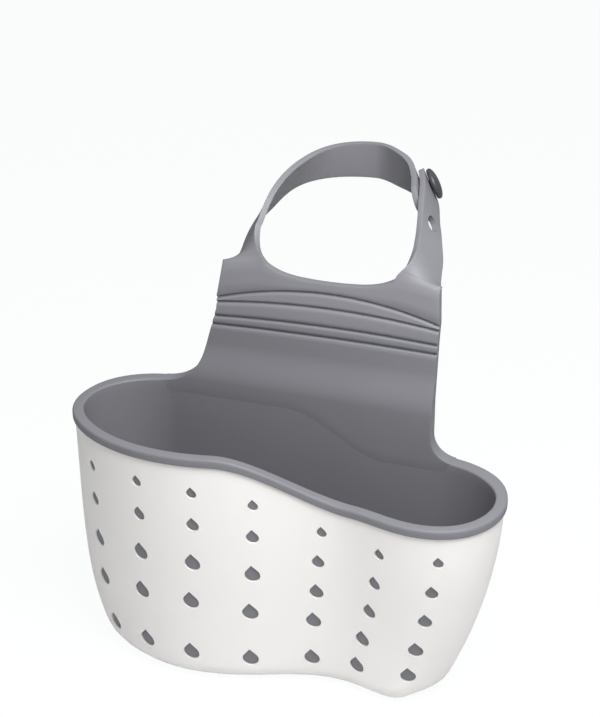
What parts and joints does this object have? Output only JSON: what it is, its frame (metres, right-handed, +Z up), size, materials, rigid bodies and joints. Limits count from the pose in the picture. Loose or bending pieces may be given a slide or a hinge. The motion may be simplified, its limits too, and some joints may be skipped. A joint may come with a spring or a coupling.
{
  "type": "sponge holder",
  "caption": "Hanging sponge holder: a hard tub with drop-shaped drain holes, a rubber liner with a back panel, and a strap loop that snaps round a tap column.",
  "frame": {"origin": "underside of the tub, on the centre line of the back panel", "axes": "+Z up, +Y towards the column that the loop goes round, +X towards the low side of the rim"},
  "size_m": [0.1686, 0.1241, 0.1833],
  "materials": {
    "white_plastic": "satin",
    "grey_rubber": "matte",
    "button_rubber": "matte"
  },
  "bodies": {
    "tub": {"outer_shell": "white_plastic", "soft_liner": "grey_rubber"},
    "yoke": {"yoke": "grey_rubber"},
    "right_strap": {"right_strap": "grey_rubber"},
    "left_strap": {"left_strap": "grey_rubber"},
    "snap_button": {"snap_button": "button_rubber"}
  },
  "joints": [
    {"name": "yoke_tilt", "type": "hinge", "parent": "tub", "child": "yoke", "pos_m": [0, 0.0286, 0.1321], "axis": [1, 0, 0], "range_deg": [-20, 30], "stiffness_Nm_per_rad": 0.5},
    {"name": "right_strap_swing", "type": "hinge", "parent": "yoke", "child": "right_strap", "pos_m": [0.03478, 0.0382, 0.15621], "axis": [0.37, 0, -0.929], "range_deg": [0, 100], "stiffness_Nm_per_rad": 0.05},
    {"name": "left_strap_swing", "type": "hinge", "parent": "yoke", "child": "left_strap", "pos_m": [-0.03565, 0.0382, 0.1564], "axis": [0.5373, 0, 0.8434], "range_deg": [0, 70], "stiffness_Nm_per_rad": 0.05},
    {"name": "snap_slide", "type": "slide", "parent": "right_strap", "child": "snap_button", "axis": [0.8509, 0.3173, 0.4186], "range_m": [0, 0.0025]}
  ],
  "couplings": [
    {"joint": "left_strap_swing", "follows": "right_strap_swing", "ratio": 0.7}
  ]
}
